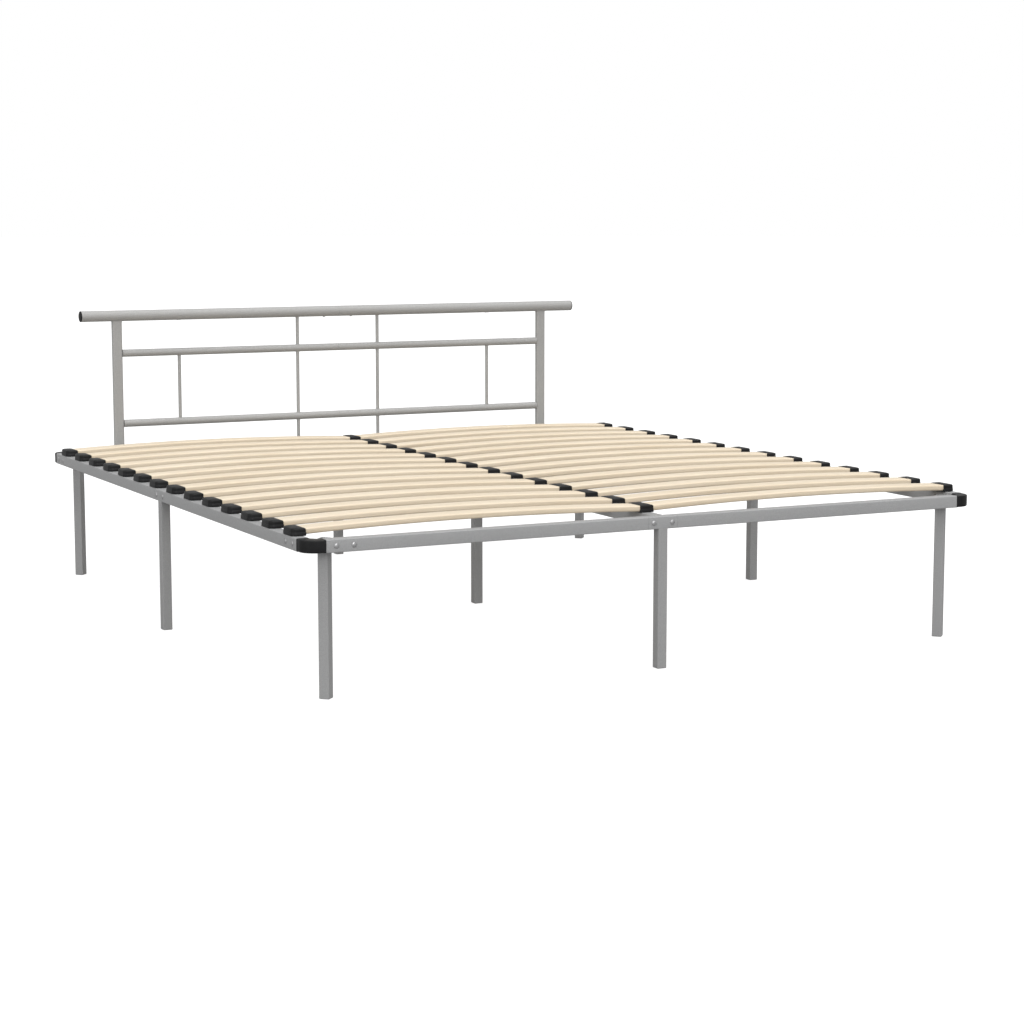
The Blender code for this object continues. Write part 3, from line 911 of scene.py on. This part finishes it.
def build_world():
    """White where the camera sees it, and a dimmer even fill for everything else."""
    world = bpy.data.worlds.new("studio")
    bpy.context.scene.world = world
    world.use_nodes = True
    tree = world.node_tree
    fill = tree.nodes["Background"]
    fill.inputs["Color"].default_value = (1, 1, 1, 1)
    fill.inputs["Strength"].default_value = FILL_STRENGTH
    seen = tree.nodes.new("ShaderNodeBackground")
    seen.inputs["Color"].default_value = (1, 1, 1, 1)
    seen.inputs["Strength"].default_value = 1.0
    rays = tree.nodes.new("ShaderNodeLightPath")
    both = tree.nodes.new("ShaderNodeMixShader")
    tree.links.new(rays.outputs["Is Camera Ray"], both.inputs["Fac"])
    tree.links.new(fill.outputs[0], both.inputs[1])
    tree.links.new(seen.outputs[0], both.inputs[2])
    tree.links.new(both.outputs[0], tree.nodes["World Output"].inputs["Surface"])


def build_lights():
    for name, direction, strength, softness in SUNS:
        light = bpy.data.lights.new(name, "SUN")
        light.energy = strength
        light.angle = math.radians(softness)
        lamp = bpy.data.objects.new(name, light)
        lamp.rotation_euler = Vector(direction).to_track_quat("Z", "Y").to_euler()
        bpy.context.scene.collection.objects.link(lamp)


def build_camera():
    camera = bpy.data.cameras.new("camera")
    camera.sensor_width = CAMERA_SENSOR
    camera.lens = CAMERA_LENS
    camera.clip_end = CAMERA_REACH
    eye = bpy.data.objects.new("camera", camera)
    eye.location = CAMERA_PLACE
    eye.rotation_euler = (math.radians(90 - CAMERA_PITCH), 0, math.radians(-CAMERA_HEADING))
    bpy.context.scene.collection.objects.link(eye)
    bpy.context.scene.camera = eye
    bpy.context.scene.view_settings.view_transform = "Standard"


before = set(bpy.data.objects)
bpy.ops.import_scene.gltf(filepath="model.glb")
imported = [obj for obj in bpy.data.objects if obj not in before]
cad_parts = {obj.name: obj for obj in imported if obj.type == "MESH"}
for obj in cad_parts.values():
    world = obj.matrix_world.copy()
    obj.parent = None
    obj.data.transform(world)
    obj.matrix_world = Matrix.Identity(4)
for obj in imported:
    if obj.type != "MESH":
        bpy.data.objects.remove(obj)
cad_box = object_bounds()
bed_low, bed_high = (Vector(corner) for corner in cad_box)

rail_coat = powder_coat("rail_powder_coat", RAIL_TONE)
leg_coat = powder_coat("leg_powder_coat", LEG_TONE)
headboard_coat = powder_coat("headboard_powder_coat", HEADBOARD_TONE)
black_plastic = moulded_plastic("moulded_black_plastic")
plating = zinc("bright_zinc")
plywood = birch_plywood("bent_birch_plywood")

build_camera()
build_world()
build_lights()
build_floor()
coat_cad_nodes()
build_rails()
build_joiners()
build_headboard_tubes()
build_end_caps()
add_spindle_beads()
add_post_beads()
add_leg_beads()
build_slats()
build_holders()
